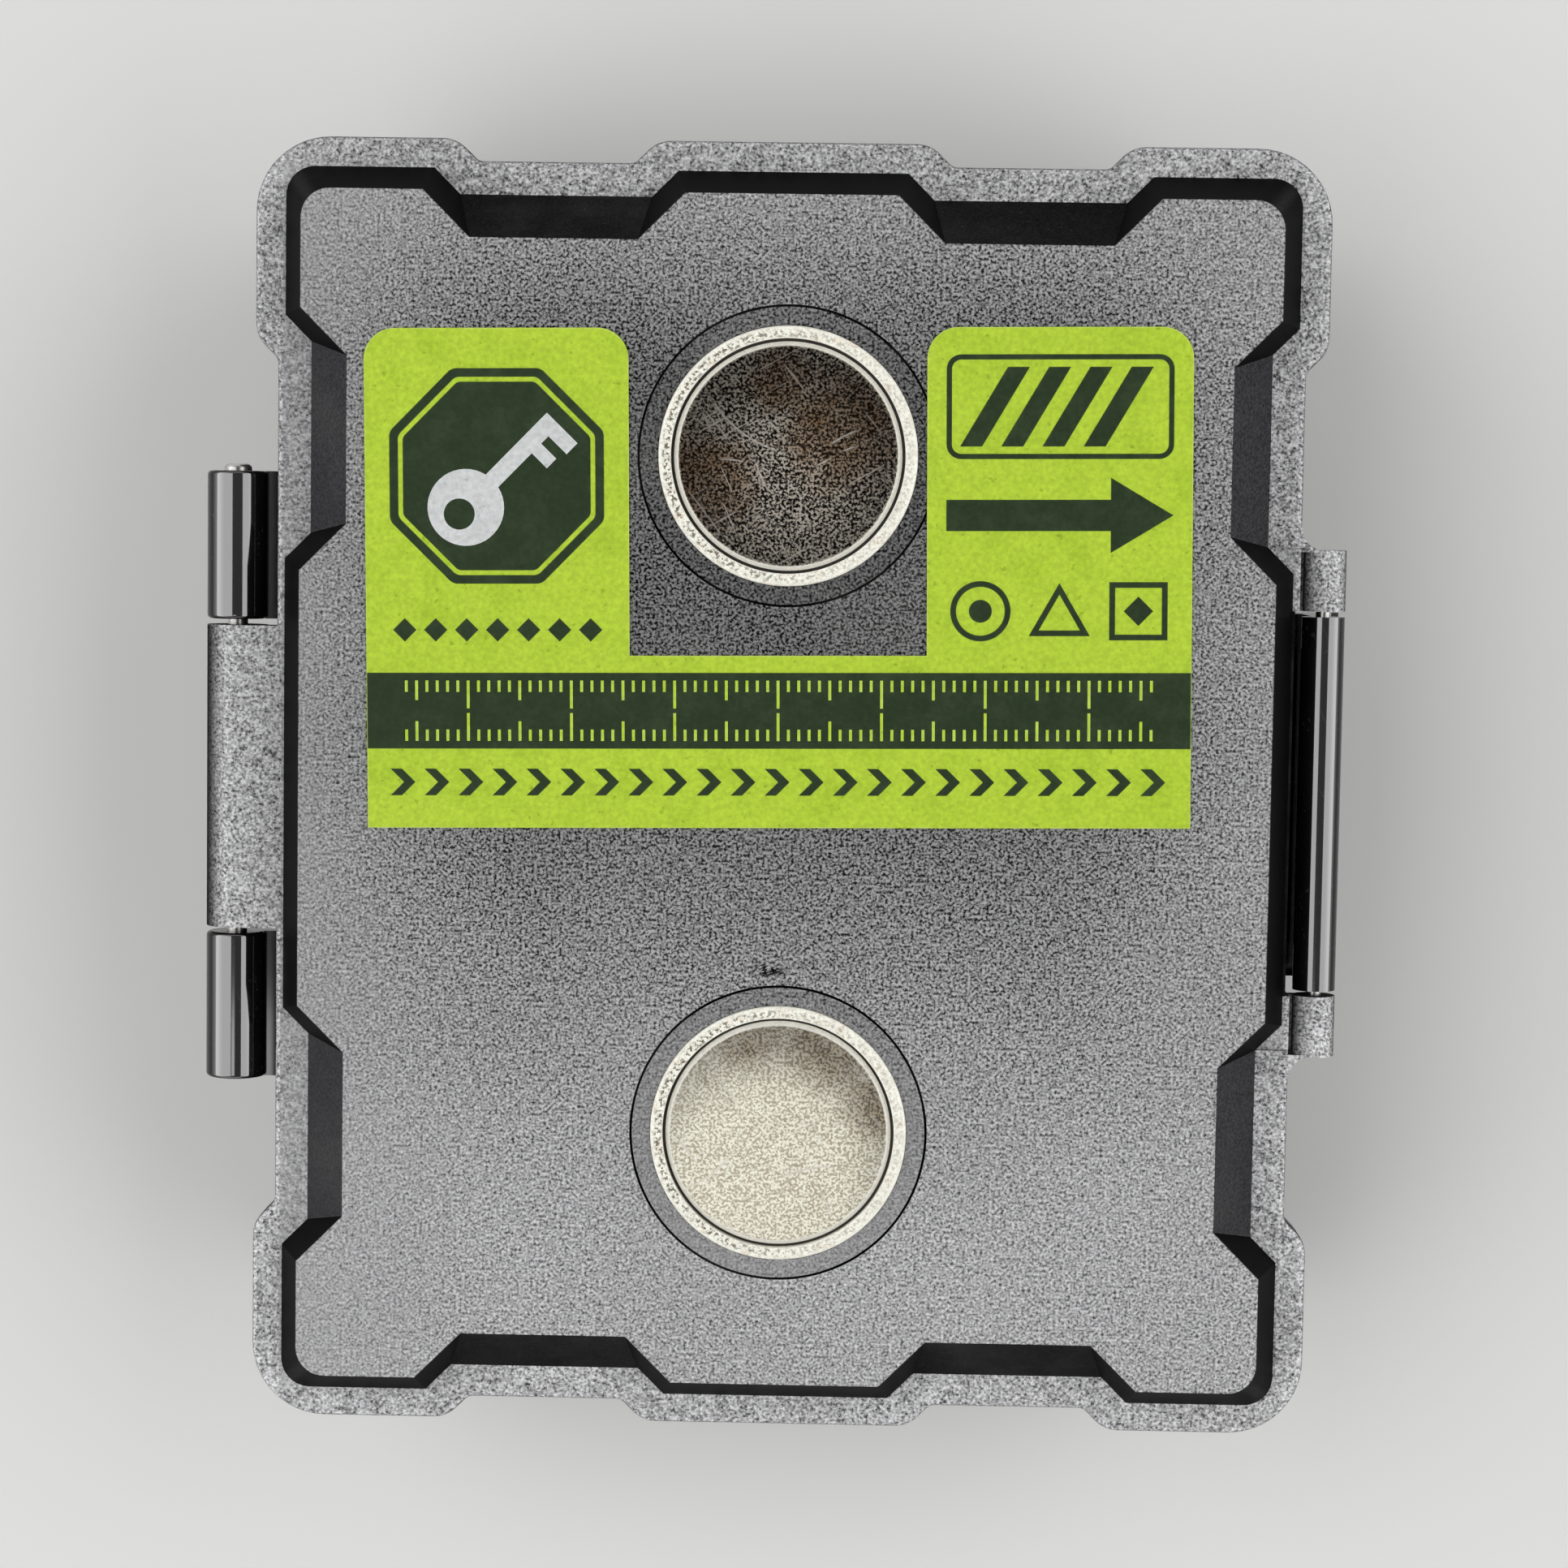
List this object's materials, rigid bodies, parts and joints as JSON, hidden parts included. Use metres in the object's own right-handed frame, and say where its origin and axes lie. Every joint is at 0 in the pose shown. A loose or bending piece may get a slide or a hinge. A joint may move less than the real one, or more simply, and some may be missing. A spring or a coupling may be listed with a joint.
{
  "type": "magnetic key box",
  "caption": "Rugged black key box: deep tub with removable dividers, side-hinged lid with swing latch, gasket and recessed pot magnets that hold it to steel.",
  "frame": {"origin": "middle of the tub's flat outer face, between the walls", "axes": "+Z out of the magnet face, +X to the latch, +Y along the long side to the labelled end; the box lies on its tub as pictured"},
  "size_m": [0.114, 0.1268, 0.0423],
  "materials": {
    "smooth_black_plastic": "smooth moulded, semi-gloss",
    "textured_black_plastic": "fine spark-eroded grain",
    "gasket_rubber": "matte",
    "divider_plastic": "satin",
    "pin_steel": "ground",
    "cup_steel": "nickel plated, scuffed rim",
    "magnet_upper": "nickel plated, dark mottled reflection with fine scratches",
    "magnet_lower": "nickel plated, fine pitting",
    "dark_resin": "cast",
    "washer_rubber": "matte",
    "screw_steel": "zinc plated",
    "label_film": "printed satin film"
  },
  "bodies": {
    "tub": {"tub_shell": "smooth_black_plastic", "rim_gasket": "gasket_rubber", "divider_long": "divider_plastic", "divider_cross_upper": "divider_plastic", "divider_cross_lower": "divider_plastic", "hinge_pin": "pin_steel"},
    "lid": {"lid_shell": "textured_black_plastic", "latch_pin": "pin_steel", "label_sticker": "label_film", "magnet_cup_upper": "cup_steel", "resin_ring_upper": "dark_resin", "magnet_disc_upper": "magnet_upper", "seal_washer_upper": "washer_rubber", "magnet_screw_upper": "screw_steel", "magnet_cup_lower": "cup_steel", "resin_ring_lower": "dark_resin", "magnet_disc_lower": "magnet_lower", "seal_washer_lower": "washer_rubber", "magnet_screw_lower": "screw_steel"},
    "latch": {"latch_plate": "smooth_black_plastic"}
  },
  "joints": [
    {"name": "lid_hinge", "type": "hinge", "parent": "tub", "child": "lid", "pos_m": [-0.0546, 0.0006, 0.033], "axis": [0, -1, 0], "range_deg": [0, 180]},
    {"name": "latch_hinge", "type": "hinge", "parent": "lid", "child": "latch", "pos_m": [0.05275, -0.0004, 0.0342], "axis": [0, -1, 0], "range_deg": [0, 180]}
  ]
}
